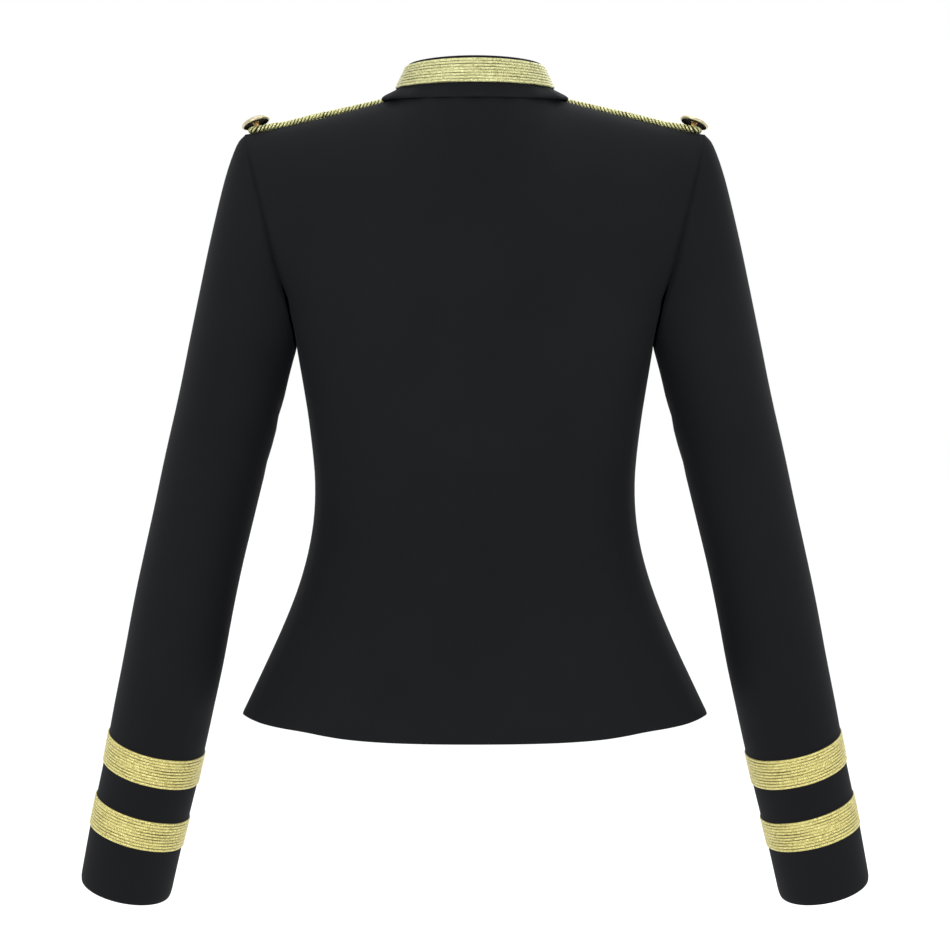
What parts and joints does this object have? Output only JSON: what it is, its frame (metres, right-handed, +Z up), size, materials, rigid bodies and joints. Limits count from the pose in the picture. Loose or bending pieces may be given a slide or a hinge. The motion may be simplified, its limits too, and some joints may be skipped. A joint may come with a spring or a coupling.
{
  "type": "jacket",
  "caption": "Fitted waist-length stage jacket with a stand collar, long set-in sleeves, flared hem, ribbed gold braid and shank buttons, filled out as worn.",
  "frame": {"origin": "midway between the shoulders, at the height where the shoulder seams meet the collar", "axes": "+Z up, -Y to the front of the jacket, +X to the wearer's left"},
  "size_m": [0.6412, 0.2694, 0.68],
  "materials": {
    "black_crepe": "matt black stretch crepe with a soft sheen",
    "gold_braid": "ribbed and twisted metallic gold thread",
    "brass": "polished pale brass"
  },
  "bodies": {
    "root": {"back": "black_crepe", "front_left": "black_crepe", "front_right": "black_crepe", "sleeve_left": "black_crepe", "sleeve_right": "black_crepe", "collar": "black_crepe", "collar_braid": "gold_braid", "cuff_braid_upper_left": "gold_braid", "cuff_braid_upper_right": "gold_braid", "cuff_braid_lower_left": "gold_braid", "cuff_braid_lower_right": "gold_braid", "shoulder_cord_left": "gold_braid", "shoulder_cord_right": "gold_braid", "shoulder_button_left": "brass", "shoulder_button_right": "brass", "front_button_1": "brass", "front_button_2": "brass", "front_button_3": "brass", "front_button_4": "brass", "front_button_5": "brass", "front_button_6": "brass"}
  },
  "joints": []
}
